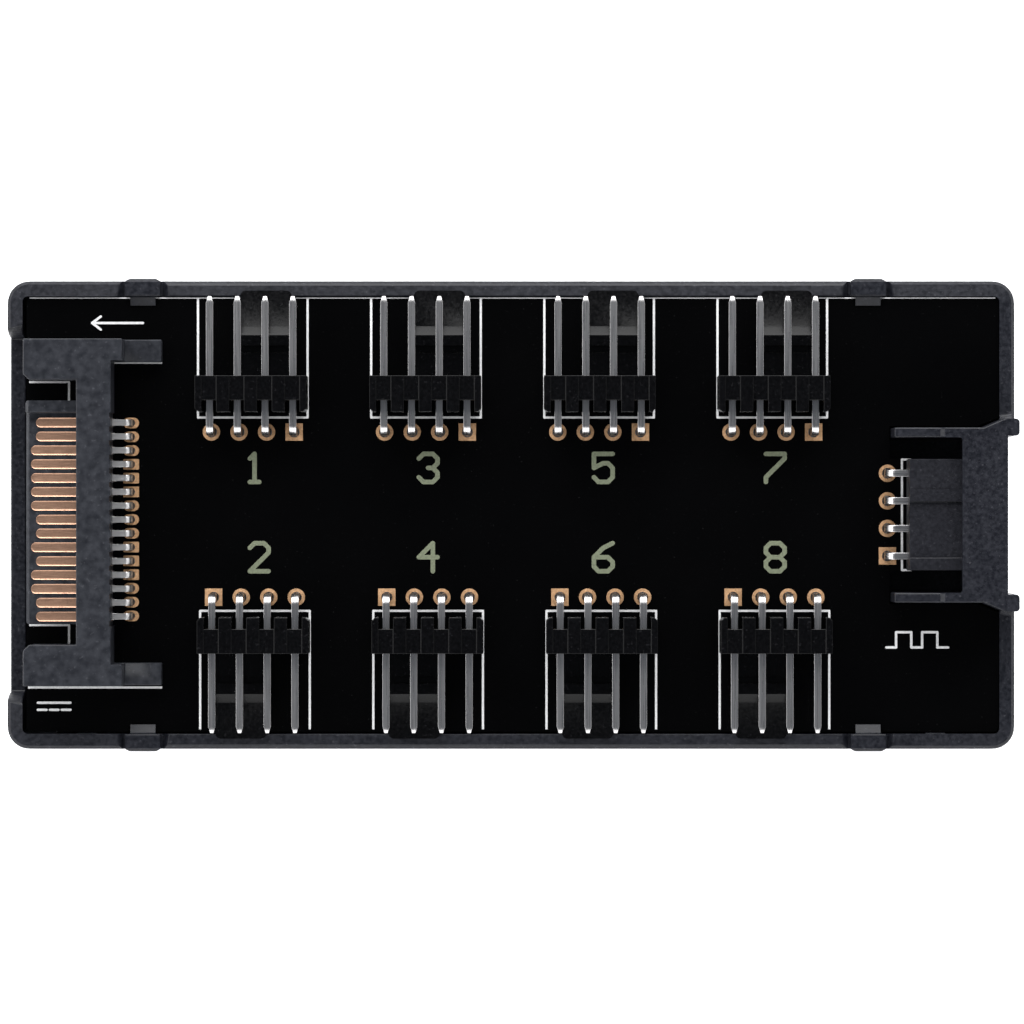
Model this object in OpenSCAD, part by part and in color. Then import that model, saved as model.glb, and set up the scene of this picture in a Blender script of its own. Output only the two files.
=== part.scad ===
// PC fan controller hub: a black circuit board snapped into a shallow moulded tray.
// Eight right-angle fan headers stand in two rows, a 15-contact power inlet is at the left end,
// and a shrouded four-pin control input sits under a roofed port at the right end.
// X runs along the case towards the control input, Y across it, Z up, with the origin
// at the centre of the case's underside.

/* [Case] */
// Length of the case
case_l = 92.8; // [90:0.2:110]
// Width of the case
case_w = 43.1; // [41:0.1:52]
// Thickness of the case's walls
wall_t = 1.4; // [1.1:0.1:1.8]
// Thickness of the case's floor
floor_t = 1.5; // [1.2:0.1:2.5]
// Radius of the upright corners
corner_r = 2; // [1.6:0.1:3]
// Chamfer round the underside
foot_chamfer = 0.5; // [0.2:0.1:0.8]
// Radius of the walls' inner corners
inner_corner_r = 0.5; // [0.3:0.05:0.6]
// Chamfer along the rim's outer edge
rim_chamfer = 0.3; // [0.1:0.05:0.4]
// How far the rim slopes down from the inside to the chamfer
rim_fall = 0.2; // [0.05:0.05:0.3]
// How far the walls stand above the board's face
wall_lip = 0.4; // [0.2:0.1:0.8]
// Height of the low sill in front of the power inlet
sill_z = 2.2; // [1.8:0.1:3]
// Gap between the power inlet's side and the foot of the sill's shoulder
sill_gap = 0.25; // [0.1:0.05:0.6]
// Width of each curved shoulder beside the sill
shoulder_w = 1.3; // [0.8:0.1:1.6]
// Length of the locating pads on the long walls
locator_l = 1.8; // [1:0.1:3]
// Thickness of the locating pads
locator_t = 0.09; // [0.05:0.01:0.1]
// Distance of the locating pads from the case's ends
locator_in = 7.3; // [6:0.1:7.8]
// Width of the ribs that carry the board
rib_w = 1.2; // [0.8:0.1:2]
// How far the carrying ribs reach in under the board
rib_reach = 1.8; // [1.2:0.1:2.4]
// Distance of the outer ribs from the end walls
rib_end_in = 3; // [2:0.1:3.6]
// Distance of the right end's ribs from the long walls
rib_side_in = 7; // [5:0.1:9]

/* [Snap hooks] */
// Width of a snap hook's arm
hook_w = 3.2; // [2.6:0.1:4]
// Width of the dip in the rim at each side of the arm
dip_w = 0.8; // [0.7:0.05:1.2]
// Depth of the dips
dip_d = 0.6; // [0.2:0.05:0.65]
// How far the arm stands proud of the wall
hook_proud = 0.22; // [0.1:0.02:0.3]
// Chamfer of the proud arm's upright edges
hook_edge = 0.35; // [0.2:0.05:0.5]
// Width of the nose that holds the board
nose_w = 2.3; // [1.8:0.1:2.5]
// How far the nose reaches over the board
nose_reach = 0.85; // [0.5:0.05:1]
// Thickness at the nose's tip
nose_tip_h = 0.15; // [0.1:0.05:0.3]
// How far the nose's root lies below the arm's top
nose_step = 0.25; // [0.15:0.05:0.35]
// Height of the arm above the wall's rim
nose_rise = 0.5; // [0.3:0.1:0.8]
// Free play between the nose and the board
nose_play = 0.05; // [0.03:0.01:0.1]
// Distance of the left hooks from the left end
hook_left_in = 12.5; // [11.5:0.1:14]
// Distance of the right hooks from the right end
hook_right_in = 13.5; // [12:0.1:14]

/* [Port roof] */
// Thickness of the port's cheeks
cheek_t = 0.9; // [0.7:0.1:1.2]
// Length of a cheek from the case's end
cheek_l = 11.4; // [10:0.1:11.6]
// Room between the control input and each cheek
cheek_room = 2; // [1.2:0.1:2.4]
// How far the cheek's low part lies below the roof's top
cheek_drop = 0.3; // [0.2:0.05:1]
// Where the cheek's high part begins, from the case's end
cheek_high_l = 7.2; // [6.5:0.1:8]
// Length of the slope between the two parts
cheek_slope = 0.4; // [0.3:0.05:0.8]
// Thickness of the roof
roof_t = 1; // [0.8:0.1:1.5]
// Length of the roof along the case
roof_l = 4.15; // [3:0.05:5]
// Gap between the control input and the roof
roof_gap = 0.2; // [0.1:0.05:0.5]
// How far the port's face is set back from the case's end
port_recess = 1.05; // [0.6:0.05:1.2]
// Width of the post at each side of the port
post_w = 1.55; // [1.2:0.05:2]
// How far each post stands outside its cheek's inner face
post_step = 0.15; // [0.1:0.05:0.3]
// Length of the cheek's outward flare
flare_l = 1.85; // [1.2:0.05:2.4]
// Rounding of the posts' outer corners
post_r = 0.34; // [0.2:0.02:0.5]
// Length of the slope from the wall's rim up to each post
toe_l = 0.5; // [0.3:0.1:0.8]
// Height of that slope
toe_h = 0.3; // [0.2:0.05:0.5]
// Radius of the corners between the roof and the cheeks
roof_corner_r = 0.28; // [0.1:0.02:0.3]

/* [Magnets] */
// Diameter of a magnet
magnet_d = 8; // [6:0.5:9]
// Thickness of a magnet
magnet_t = 1.8; // [1.5:0.1:2.2]
// Clearance round and above a magnet
magnet_play = 0.1; // [0.05:0.01:0.15]
// How far the magnets lie inside the underside
magnet_set = 0.1; // [0.05:0.05:0.3]
// Wall of the magnet's boss
magnet_wall = 0.8; // [0.6:0.1:1]
// Distance of the magnets from the case's ends
magnet_end_in = 9; // [8:0.5:9.5]
// Distance of the magnets from the case's long sides
magnet_side_in = 7.6; // [7:0.1:8]

/* [Board] */
// Thickness of the board
board_t = 1.6; // [1.2:0.2:2]
// Room under the board for solder and parts
board_room = 3.5; // [3.2:0.1:5]
// Gap between the board and the end walls
board_end_gap = 0.2; // [0.18:0.02:0.4]
// Gap between the board and the long walls
board_side_gap = 0.14; // [0.14:0.02:0.3]
// How far the board sits towards the control input
board_x = 0.15; // [0:0.05:0.15]
// How far the board sits towards the odd channels
board_y = 0.04; // [0:0.01:0.04]
// Chamfer of the board's corners
board_corner = 0.3; // [0.3:0.05:1.2]
// Clearance between the board and the port's cheeks
notch_gap = 0.2; // [0.1:0.05:0.3]
// Clearance in front of the cheeks' ends
notch_end_gap = 0.1; // [0.05:0.05:0.3]
// How far the board's notches stay clear of the control input
notch_past = 0.05; // [0.03:0.01:0.1]
// Thickness of the copper pads
pad_t = 0.05; // [0.03:0.01:0.1]
// Thickness of the copper lining in a hole
lining_t = 0.05; // [0.03:0.01:0.08]
// Corner radius of a pad with a square shape
pad_corner = 0.1; // [0.05:0.01:0.15]
// How much a solder joint is shorter than its tail
solder_short = 0.3; // [0.2:0.05:0.5]
// Width of a solder joint's tip as a share of its foot
solder_taper = 0.55; // [0.45:0.05:0.7]
// Bare rim of a pad round its solder
solder_rim = 0.05; // [0.02:0.01:0.08]

/* [Pins] */
// Pitch of the pins in a fan header
pin_pitch = 2.54; // [2.5:0.02:2.6]
// Side of a square pin
pin_w = 0.64; // [0.5:0.02:0.66]
// Diameter of a pin's hole in the board
pin_hole_d = 1; // [0.96:0.02:1.1]
// Diameter of a round pad, and side of the square one
pin_pad_d = 1.6; // [1.4:0.05:1.8]
// Inner radius of a pin's bend
pin_bend_r = 0.3; // [0.2:0.05:0.9]
// Length of the taper at a pin's tip
tip_l = 0.6; // [0.4:0.05:0.8]
// Width of a pin's blunt end
tip_w = 0.3; // [0.2:0.05:0.4]
// How far pins and contacts stick out below the board
tail_out = 1.4; // [1:0.1:1.8]
// Clearance of a pin in its plastic base
pin_fit = 0.01; // [0.01:0.005:0.03]

/* [Fan headers] */
// Distance from the board's ends to the middle of the outer headers
header_end_in = 20.86; // [20:0.01:21.6]
// Distance from a header's outer pin to its end
header_side = 1.29; // [1.2:0.01:1.35]
// How far the even row is shifted towards the control input
even_shift = 0.2; // [0:0.05:0.6]
// Distance of the pads from the board's long edge
pad_in = 12.4; // [11.5:0.1:13]
// Distance from the pads to the base's back
base_back = 1.8; // [1.4:0.1:2.2]
// Thickness of the base along the pins
base_d = 3.3; // [2.8:0.1:3.6]
// Height of the base
base_h = 6.2; // [5.6:0.1:7]
// Height of the pins above the board
pin_rise = 4; // [3.7:0.1:4.4]
// Width of the notches and channels round the pins
channel_w = 1.36; // [1.1:0.02:1.6]
// Depth of the notches in the base's back
notch_d = 1.05; // [0.6:0.05:1.4]
// Depth of the channels in the base's top
channel_d = 0.15; // [0.1:0.05:0.3]
// Width of the friction tab
tab_w = 4.7; // [4:0.1:5]
// Thickness of the tab's plate
tab_t = 1; // [0.8:0.1:1.2]
// Gap between the tab and the case's rim
tab_gap = 0.15; // [0.1:0.05:0.3]
// Length of the tab from the base's front
tab_l = 7.9; // [7.4:0.1:8]
// Distance from the base's front to the tab's groove
groove_at = 2.2; // [1.8:0.1:2.4]
// Length of the groove in front of the ridge
groove_l = 0.6; // [0.4:0.05:0.8]
// Depth of the groove
groove_d = 0.3; // [0.2:0.05:0.4]
// Length of the ridge's flat top
ridge_l = 0.98; // [0.8:0.02:1.1]
// Length of the ridge's steep outer slope
ridge_slope = 0.83; // [0.6:0.02:1]
// Height of the ridge above the tab's plate
ridge_h = 0.75; // [0.5:0.05:0.9]
// Height of the long ramp's start above the tab's plate
ramp_h = 0.2; // [0.1:0.05:0.3]
// Thickness at the tab's end
tab_end_t = 0.65; // [0.5:0.05:0.8]
// Radius of the tab's end corners
tab_corner = 0.5; // [0.3:0.05:0.7]
// Chamfer of the base's back corners
base_corner = 0.3; // [0.2:0.05:0.5]

/* [Power inlet] */
// Width of the power inlet across the case
power_w = 31.76; // [30:0.02:33]
// Height of the power inlet
power_h = 6.4; // [5.8:0.1:7]
// Distance from the board's end to the inlet's face
power_set = 0.1; // [0:0.05:0.3]
// How far the inlet sits towards the odd channels
power_y = 0.2; // [0:0.05:0.3]
// Length of the guide arms
guide_l = 4.85; // [4.4:0.05:5.4]
// Width of a guide arm
guide_w = 3.78; // [3.2:0.02:4.2]
// Lead-in chamfer at the guide arms' mouth
guide_lead = 0.55; // [0.3:0.05:0.8]
// Thickness of the inlet's back
back_t = 3.15; // [2.6:0.05:3.6]
// Width of the tongue
tongue_w = 20.5; // [20:0.1:21.5]
// Thickness of the tongue
tongue_t = 1.2; // [1:0.05:1.4]
// Distance from the guide arms' faces to the tongue's front
tongue_in = 0.1; // [0.05:0.05:0.4]
// Radius of the tongue's front corners
tongue_corner = 0.3; // [0.15:0.05:0.4]
// Height of the tongue's underside above the board
tongue_rise = 2.2; // [1.8:0.1:2.6]
// Chamfer along the tongue's front
tongue_lead = 0.3; // [0.2:0.05:0.4]
// Width of the key at the tongue's end
key_w = 1.1; // [0.9:0.05:1.3]
// Height of the key above the tongue
key_h = 1.2; // [0.9:0.1:1.5]
// Width of each rear foot
foot_w = 2; // [1.9:0.05:2.6]
// Length of the foot's tall part
foot_tall_l = 1.05; // [0.6:0.05:1.5]
// Length of the whole foot
foot_l = 4.45; // [4.2:0.05:5]
// Height of the foot's low part
foot_h = 2; // [1.5:0.1:3]
// How much wider the foot's low part is on its inner side
foot_flare = 0.05; // [0.05:0.05:0.3]
// Diameter of the peg under each foot
peg_d = 1.4; // [1:0.1:1.6]
// Clearance of the peg in the board
peg_gap = 0.1; // [0.05:0.05:0.15]
// Distance from the inlet's back to the peg
peg_at = 3; // [2.6:0.1:3.2]
// Width of the upright grooves between the contacts
comb_w = 0.5; // [0.4:0.02:0.6]
// Depth of the upright grooves
comb_d = 0.12; // [0.05:0.01:0.2]

/* [Power contacts] */
// Pitch of the contacts
contact_pitch = 1.27; // [1.25:0.01:1.29]
// Width of a contact's blade
blade_w = 0.87; // [0.7:0.01:0.95]
// Thickness of a contact
blade_t = 0.3; // [0.2:0.02:0.36]
// How far the blades stand above the tongue
blade_proud = 0.08; // [0.04:0.01:0.12]
// Distance from the tongue's front to a long blade
long_in = 0.45; // [0.2:0.05:0.6]
// How much shorter the short blades are
short_by = 0.46; // [0.3:0.02:0.7]
// Inner radius of a contact's bend
contact_bend_r = 0.3; // [0.2:0.05:0.5]
// Width of a contact's tail
power_tail_w = 0.56; // [0.45:0.01:0.6]
// Distance from the inlet's back to the tails' holes
tail_at = 1.55; // [1.45:0.05:1.8]
// Diameter of a tail's hole in the board
tail_hole_d = 0.72; // [0.7:0.02:0.76]
// Length of a tail's pad
tail_pad_l = 1.45; // [1.2:0.05:1.6]
// Width of a tail's pad
tail_pad_w = 0.98; // [0.94:0.02:1.1]
// How far the row of contacts is off the tongue's middle
contact_shift = -0.65; // [-0.7:0.05:-0.6]
// Clearance of a contact in its slot
blade_fit = 0.01; // [0.01:0.005:0.02]

/* [Control input] */
// Distance of the control pads from the board's end
control_in = 10.25; // [9.8:0.05:10.6]
// Distance from the pads to the shroud's back
shroud_back = 1.75; // [1.5:0.05:2.2]
// Height of the shroud
shroud_h = 5.6; // [5.2:0.1:6.2]
// Thickness of the shroud's walls
shroud_t = 0.6; // [0.5:0.05:0.8]
// Thickness of the shroud's closed back
shroud_end_t = 2.4; // [2:0.1:3]
// Distance from the port's face to the shroud's mouth
mouth_in = 0.15; // [0.1:0.05:0.5]
// How far the pins stop short of the mouth
pin_short = 1.2; // [0.8:0.1:1.6]
// Height of the control pins above the board
control_rise = 2.8; // [2.5:0.1:3]
// Width of the wide key panel in the shroud's top
panel_w = 5.1; // [4.5:0.02:5.2]
// How far the key panel's middle lies beyond the second pin
panel_off = 0.14; // [0:0.02:0.3]
// Depth of the key panel
panel_d = 0.3; // [0.2:0.05:0.35]
// Gap between the key panel and its rail
rail_gap = 0.1; // [0.05:0.05:0.2]
// Width of the rail beside the key panel
rail_w = 1.1; // [0.8:0.1:1.2]
// Height of the rail
rail_h = 0.12; // [0.08:0.02:0.14]

/* [Parts under the board] */
// Length of the buffer chip's body
chip_l = 4.9; // [4.5:0.1:5.2]
// Width of the buffer chip's body
chip_w = 3.9; // [3.6:0.1:4]
// Height of the buffer chip's body
chip_h = 1.45; // [1.2:0.05:1.6]
// Gap between the chip's body and the board
chip_gap = 0.1; // [0.05:0.05:0.2]
// Pitch of the chip's legs
leg_pitch = 1.27; // [1.2:0.01:1.3]
// Width of a chip's leg
leg_w = 0.42; // [0.35:0.01:0.5]
// Reach of a leg beyond the chip's body
leg_reach = 1; // [0.8:0.05:1.1]
// Thickness of a leg
leg_t = 0.2; // [0.15:0.01:0.25]
// Length of the fuse
fuse_l = 4.5; // [4:0.1:5]
// Width of the fuse
fuse_w = 3.2; // [2.8:0.1:3.6]
// Height of the fuse
fuse_h = 1.4; // [1:0.1:1.6]
// Length of a capacitor
cap_l = 3.2; // [2:0.1:3.4]
// Width of a capacitor
cap_w = 1.6; // [1.2:0.1:1.8]
// Height of a capacitor
cap_h = 1.2; // [0.8:0.1:1.6]
// Gap between the two capacitors
cap_gap = 0.8; // [0.5:0.1:1.2]
// Length of a resistor
res_l = 1.6; // [1.2:0.1:1.8]
// Width of a resistor
res_w = 0.8; // [0.6:0.05:0.9]
// Height of a resistor
res_h = 0.45; // [0.35:0.05:0.55]
// Share of a chip part's length that each metal end covers
end_share = 0.16; // [0.12:0.01:0.2]
// How far the metal ends stand proud of the ceramic
end_proud = 0.02; // [0.01:0.01:0.03]

/* [Hidden] */
$fn = 48;
eps = 0.01;
rim_lap = 0.1;
channels = 8;
pins = 4;
contacts = 15;
long_contacts = [3, 4, 5, 6, 7, 10, 12, 13];
square_tail_pads = [4, 5, 6, 10, 11, 12];

// Heights
board_z = floor_t + board_room;
face_z = board_z + board_t;
rim_z = face_z + wall_lip;
roof_z = face_z + shroud_h + rail_h + roof_gap;
top_z = roof_z + roof_t;

// Case and board outlines
inner_l = case_l - 2 * wall_t;
inner_w = case_w - 2 * wall_t;
board_l = inner_l - 2 * board_end_gap;
board_w = inner_w - 2 * board_side_gap;
sill_w = power_w + 2 * (sill_gap + power_y + board_y);

// Control input and its port
header_w = (pins - 1) * pin_pitch + 2 * header_side;
cheek_y = header_w / 2 + cheek_room;
cheek_out = cheek_y + cheek_t;
post_out = cheek_y + post_step + post_w;
port_x = case_l / 2 - port_recess;
control_x = board_x + board_l / 2 - control_in;
mouth_x = port_x - mouth_in - control_x;

// Fan headers and their tabs
columns = channels / 2;
header_pitch = (board_l - 2 * header_end_in) / (columns - 1);
base_front = base_back + base_d;
tab_z = wall_lip + tab_gap;
tab_x = pin_pitch / 2;
tip_y = pad_in;

// Power inlet
power_l = guide_l + back_t;
tongue_z = tongue_rise + tongue_t;
blade_z = tongue_z + blade_proud - blade_t;

case_colour = [0.16, 0.17, 0.2];
inlet_colour = [0.22, 0.23, 0.25];
header_colour = [0.06, 0.06, 0.07];
shroud_colour = [0.15, 0.15, 0.17];
board_colour = [0.02, 0.02, 0.02];
pin_colour = [0.55, 0.55, 0.56];
copper_colour = [0.75, 0.52, 0.34];
contact_colour = [0.78, 0.58, 0.46];
nickel_colour = [0.7, 0.7, 0.72];
solder_colour = [0.66, 0.67, 0.68];

// Shapes used by several pieces

// Rectangle with round corners
module round_rect(l, w, r) {
    square([l - 2 * r, w], center = true);
    square([l, w - 2 * r], center = true);
    for (x = [-1, 1], y = [-1, 1])
        translate([x * (l / 2 - r), y * (w / 2 - r)]) circle(r);
}

// Slab with upright round corners, a chamfer round its bottom and its top, and a top that falls
// slightly towards the chamfer over the given band
module profiled_slab(l, w, r, h, bottom, top, fall, band) {
    module section(d) {
        polygon([[bottom - d / 2, 0], [d / 2 - bottom, 0], [d / 2, bottom], [d / 2, h - fall - top],
                 [d / 2 - top, h - fall], [d / 2 - band, h], [band - d / 2, h], [top - d / 2, h - fall],
                 [-d / 2, h - fall - top], [-d / 2, bottom]]);
    }
    rotate([90, 0, 0]) linear_extrude(w - 2 * r, center = true) section(l);
    rotate([90, 0, 90]) linear_extrude(l - 2 * r, center = true) section(w);
    for (x = [-1, 1], y = [-1, 1])
        translate([x * (l / 2 - r), y * (w / 2 - r), 0])
            rotate_extrude() intersection() {
                section(2 * r);
                square([r, h]);
            }
}

// Upright edge profile in X and Z, drawn out along Y
module along_y(w) {
    translate([0, w / 2, 0]) rotate([90, 0, 0]) linear_extrude(w) children();
}

// Upright edge profile in Y and Z, drawn out along X
module along_x(l) {
    translate([-l / 2, 0, 0]) rotate([90, 0, 90]) linear_extrude(l) children();
}

// Places things on the board's face
module on_board() {
    translate([board_x, board_y, face_z]) children();
}

// Places things at the pads of one fan channel, with +Y towards the board's edge
module at_channel(n) {
    odd = n % 2 == 1;
    column = floor((n - 1) / 2) - (columns - 1) / 2;
    x = column * header_pitch + (odd ? 0 : even_shift);
    y = board_w / 2 - pad_in;
    on_board() translate([x, odd ? y : -y, 0]) rotate(odd ? 0 : 180) children();
}

// Places things at the power inlet's face, with +X into the case
module at_power() {
    on_board() translate([-board_l / 2 + power_set, power_y, 0]) children();
}

// Places things at the row of control pads, with +X towards the mouth
module at_control() {
    translate([control_x, board_y, face_z]) children();
}

function pin_at(i) = (i - (pins + 1) / 2) * pin_pitch;
function contact_y(n) = contact_shift + ((contacts + 1) / 2 - n) * contact_pitch;
function is_in(list, n) = len(search(n, list)) > 0;

// Case

// Plan of one cheek with its flare and post, for the odd side
module cheek_plan() {
    end_x = case_l / 2;
    flare_x = end_x - wall_t;
    difference() {
        union() {
            polygon([[end_x - cheek_l, cheek_y], [port_x, cheek_y], [port_x, post_out - post_r],
                     [flare_x + post_r, post_out - post_r], [flare_x + post_r, post_out], [flare_x, post_out],
                     [flare_x - flare_l, cheek_out], [end_x - cheek_l, cheek_out]]);
            translate([end_x - wall_t / 2, post_out - post_w / 2]) round_rect(wall_t, post_w, post_r);
        }
        port_cut_plan();
    }
}

// Plan of the space in front of the port's face
module port_cut_plan() {
    cut_l = 4;
    translate([port_x + cut_l / 2, 0]) round_rect(cut_l, 2 * (cheek_y + post_step), post_r);
}

// Slope from the wall's rim up to a post, on the odd side
module post_toe() {
    foot_z = rim_z - rim_fall - rim_chamfer;
    toe_z = rim_z + toe_h;
    translate([(case_l - wall_t - rim_chamfer) / 2, post_out, 0]) along_x(wall_t - rim_chamfer)
        polygon([[-post_r, foot_z], [toe_l, foot_z], [toe_l, rim_z - rim_fall], [0, toe_z],
                 [-post_r, toe_z]]);
}

// Both cheeks, the posts and the roof over the control input
module port() {
    slope_x = case_l / 2 - cheek_high_l;
    low_z = top_z - cheek_drop;
    for (side = [0, 1]) mirror([0, side, 0]) post_toe();
    intersection() {
        for (side = [0, 1]) mirror([0, side, 0]) linear_extrude(top_z) cheek_plan();
        along_y(case_w) polygon([[0, 0], [case_l, 0], [case_l, top_z], [slope_x + cheek_slope, top_z],
                                 [slope_x, low_z], [0, low_z]]);
    }
    translate([0, 0, roof_z]) linear_extrude(roof_t) {
        difference() {
            translate([port_x - roof_l, -cheek_y - eps]) square([roof_l, 2 * (cheek_y + eps)]);
            port_cut_plan();
        }
        for (side = [0, 1]) mirror([0, side])
            translate([port_x - roof_l - roof_corner_r, cheek_y - roof_corner_r]) difference() {
                square(roof_corner_r + eps);
                circle(roof_corner_r);
            }
    }
}

// Snap hook on the odd side: proud arm and a nose that slopes down over the board
module hook() {
    inner = inner_w / 2;
    outer = case_w / 2;
    proud = outer + hook_proud;
    arm_z = rim_z + nose_rise;
    seat_z = face_z + nose_play;
    root_y = inner + wall_t / 2;
    half = hook_w / 2;
    intersection() {
        translate([0, 0, foot_chamfer]) linear_extrude(arm_z)
            polygon([[-half, inner], [half, inner], [half, outer], [half - hook_edge, proud],
                     [hook_edge - half, proud], [-half, outer]]);
        along_x(hook_w) polygon([[inner, 0], [proud, 0], [proud, arm_z - rim_chamfer],
                                 [proud - rim_chamfer, arm_z], [inner, arm_z]]);
    }
    along_x(nose_w) polygon([[root_y, seat_z], [inner - nose_reach, seat_z],
                             [inner - nose_reach, seat_z + nose_tip_h], [inner, arm_z - nose_step],
                             [root_y, arm_z - nose_step]]);
}

// Dips in the rim at both sides of a snap hook on the odd side
module hook_dips() {
    flat_w = dip_w - dip_d;
    translate([0, case_w / 2, rim_z]) for (side = [0, 1]) mirror([side, 0, 0])
        translate([hook_w / 2, 0, 0]) along_y(2 * wall_t + 1)
            polygon([[0, 1], [0, -dip_d], [flat_w, -dip_d], [dip_w, 0], [dip_w, 1]]);
}

// Repeats a thing at the four snap hooks
module at_hooks() {
    for (x = [-case_l / 2 + hook_left_in, case_l / 2 - hook_right_in], side = [0, 1])
        translate([x, 0, 0]) mirror([0, side, 0]) children();
}

// Repeats a thing at the four magnets, or draws it at one of them
module at_magnets(which = [1:4]) {
    for (i = which)
        translate([(i % 2 == 1 ? -1 : 1) * (case_l / 2 - magnet_end_in),
                   (i <= 2 ? 1 : -1) * (case_w / 2 - magnet_side_in), 0]) children();
}

// Ribs under the board's edges, kept clear of the hooks
module ribs() {
    outer_x = inner_l / 2 - rib_end_in - rib_w / 2;
    rib_x = [-outer_x, -outer_x / 3, 0, outer_x / 3, outer_x];
    for (x = rib_x, side = [0, 1]) mirror([0, side, 0])
        translate([x - rib_w / 2, inner_w / 2 - rib_reach, 0]) cube([rib_w, rib_reach + wall_t / 2, board_z]);
    for (side = [0, 1]) mirror([0, side, 0])
        translate([case_l / 2 - wall_t - rib_reach, inner_w / 2 - rib_side_in, 0])
            cube([rib_reach + wall_t / 2, rib_w, board_z]);
}

module tray() {
    pocket_h = magnet_set + magnet_t + magnet_play;
    pocket_r = magnet_d / 2 + magnet_play;
    color(case_colour) difference() {
        union() {
            difference() {
                profiled_slab(case_l, case_w, corner_r, rim_z, foot_chamfer, rim_chamfer, rim_fall,
                              wall_t + rim_lap);
                translate([0, 0, floor_t]) linear_extrude(rim_z)
                    round_rect(inner_l, inner_w, inner_corner_r);
                translate([0, 0, -eps]) linear_extrude(rim_z + 1) port_cut_plan();
                translate([port_x - roof_l, -cheek_y, board_z]) cube([roof_l + wall_t, 2 * cheek_y, rim_z]);
            }
            translate([port_x - wall_t, -cheek_y - eps, 0]) cube([wall_t, 2 * (cheek_y + eps), board_z]);
            port();
            ribs();
            at_hooks() hook();
            for (x = [-1, 1], side = [0, 1]) mirror([0, side, 0])
                translate([x * (case_l / 2 - locator_in) - locator_l / 2, inner_w / 2 - locator_t, 0])
                    cube([locator_l, locator_t + wall_t / 4, rim_z - rim_fall]);
            at_magnets() cylinder(h = pocket_h + magnet_wall, r = pocket_r + magnet_wall);
        }
        at_hooks() hook_dips();
        sill_cut();
        translate([0, 0, -eps]) at_magnets() cylinder(h = pocket_h + eps, r = pocket_r);
    }
}

// Low stretch of the left wall, with a curved shoulder at each end
module sill_cut() {
    drop = rim_z - sill_z;
    translate([-case_l / 2 + wall_t / 2 - eps, 0, 0]) along_x(wall_t + 1) {
        translate([-sill_w / 2, sill_z]) square([sill_w, drop + 1]);
        for (side = [0, 1]) mirror([side, 0]) translate([sill_w / 2 - eps, sill_z]) difference() {
            square([shoulder_w + eps, drop + 1]);
            translate([shoulder_w + eps, 0]) polygon([for (a = [0:9:90])
                [-shoulder_w * cos(a) + (a == 90 ? eps : 0), drop * sin(a)], [eps, 0]]);
        }
    }
}

module magnet(i) {
    color(nickel_colour) translate([0, 0, magnet_set]) at_magnets([i])
        cylinder(h = magnet_t, r = magnet_d / 2);
}

// Board

// Plan of the cut-outs for the cheeks, on the odd side
module cheek_notch_plan() {
    end_x = case_l / 2;
    flare_x = end_x - wall_t;
    inner_y = header_w / 2 + board_y + notch_past;
    outer_y = cheek_out + notch_gap;
    notch_x = end_x - cheek_l - notch_end_gap;
    polygon([[notch_x, inner_y], [end_x, inner_y], [end_x, post_out + notch_gap],
             [flare_x, post_out + notch_gap], [flare_x - flare_l - notch_gap, outer_y], [notch_x, outer_y]]);
}

module board_plan() {
    x = board_l / 2;
    y = board_w / 2;
    c = board_corner;
    difference() {
        translate([board_x, board_y])
            polygon([[-x + c, -y], [x - c, -y], [x, -y + c], [x, y - c], [x - c, y], [-x + c, y], [-x, y - c],
                     [-x, -y + c]]);
        for (side = [0, 1]) mirror([0, side]) cheek_notch_plan();
    }
}

module board() {
    color(board_colour) difference() {
        translate([0, 0, board_z]) linear_extrude(board_t) board_plan();
        for (n = [1:channels]) at_channel(n) for (i = [1:pins])
            translate([pin_at(i), 0, 0]) board_hole(pin_hole_d);
        at_control() for (i = [1:pins]) translate([0, pin_at(i), 0]) board_hole(pin_hole_d);
        at_power() {
            for (n = [1:contacts]) translate([power_l + tail_at, contact_y(n), 0]) board_hole(tail_hole_d);
            at_pegs() cylinder(h = 3 * board_t, r = peg_d / 2 + peg_gap, center = true);
        }
    }
}

// Drilled hole, wide enough for its copper lining
module board_hole(d) {
    cylinder(h = 3 * board_t, r = d / 2 + lining_t, center = true);
}

// Copper lining of a hole, with a pad shaped by its child on both faces
module plated_hole(d) {
    difference() {
        union() {
            linear_extrude(pad_t) children();
            translate([0, 0, -board_t - pad_t]) linear_extrude(pad_t) children();
            translate([0, 0, -board_t]) cylinder(h = board_t, r = d / 2 + lining_t);
        }
        cylinder(h = 3 * board_t, r = d / 2, center = true);
    }
}

// Pad of pin i, square at the first pin
module pin_pad(is_first) {
    if (is_first) square(pin_pad_d, center = true);
    else circle(d = pin_pad_d);
}

module plated_holes() {
    color(copper_colour) {
        for (n = [1:channels]) at_channel(n) for (i = [1:pins])
            translate([pin_at(i), 0, 0]) plated_hole(pin_hole_d) pin_pad(i == pins);
        at_control() for (i = [1:pins])
            translate([0, pin_at(i), 0]) plated_hole(pin_hole_d) pin_pad(i == 1);
        at_power() for (n = [1:contacts]) {
            r = is_in(square_tail_pads, n) ? pad_corner : tail_pad_w / 2 - eps;
            translate([power_l + tail_at, contact_y(n), 0])
                plated_hole(tail_hole_d) round_rect(tail_pad_l, tail_pad_w, r);
        }
    }
}

// Cone of solder under the board round a tail of the given size
module solder(r, tail) {
    h = tail_out - pad_t - solder_short;
    translate([0, 0, -board_t - pad_t - h]) difference() {
        cylinder(h = h, r1 = r * solder_taper, r2 = r);
        translate([-tail[0] / 2, -tail[1] / 2, -eps]) cube([tail[0], tail[1], h + 2 * eps]);
    }
}

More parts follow.
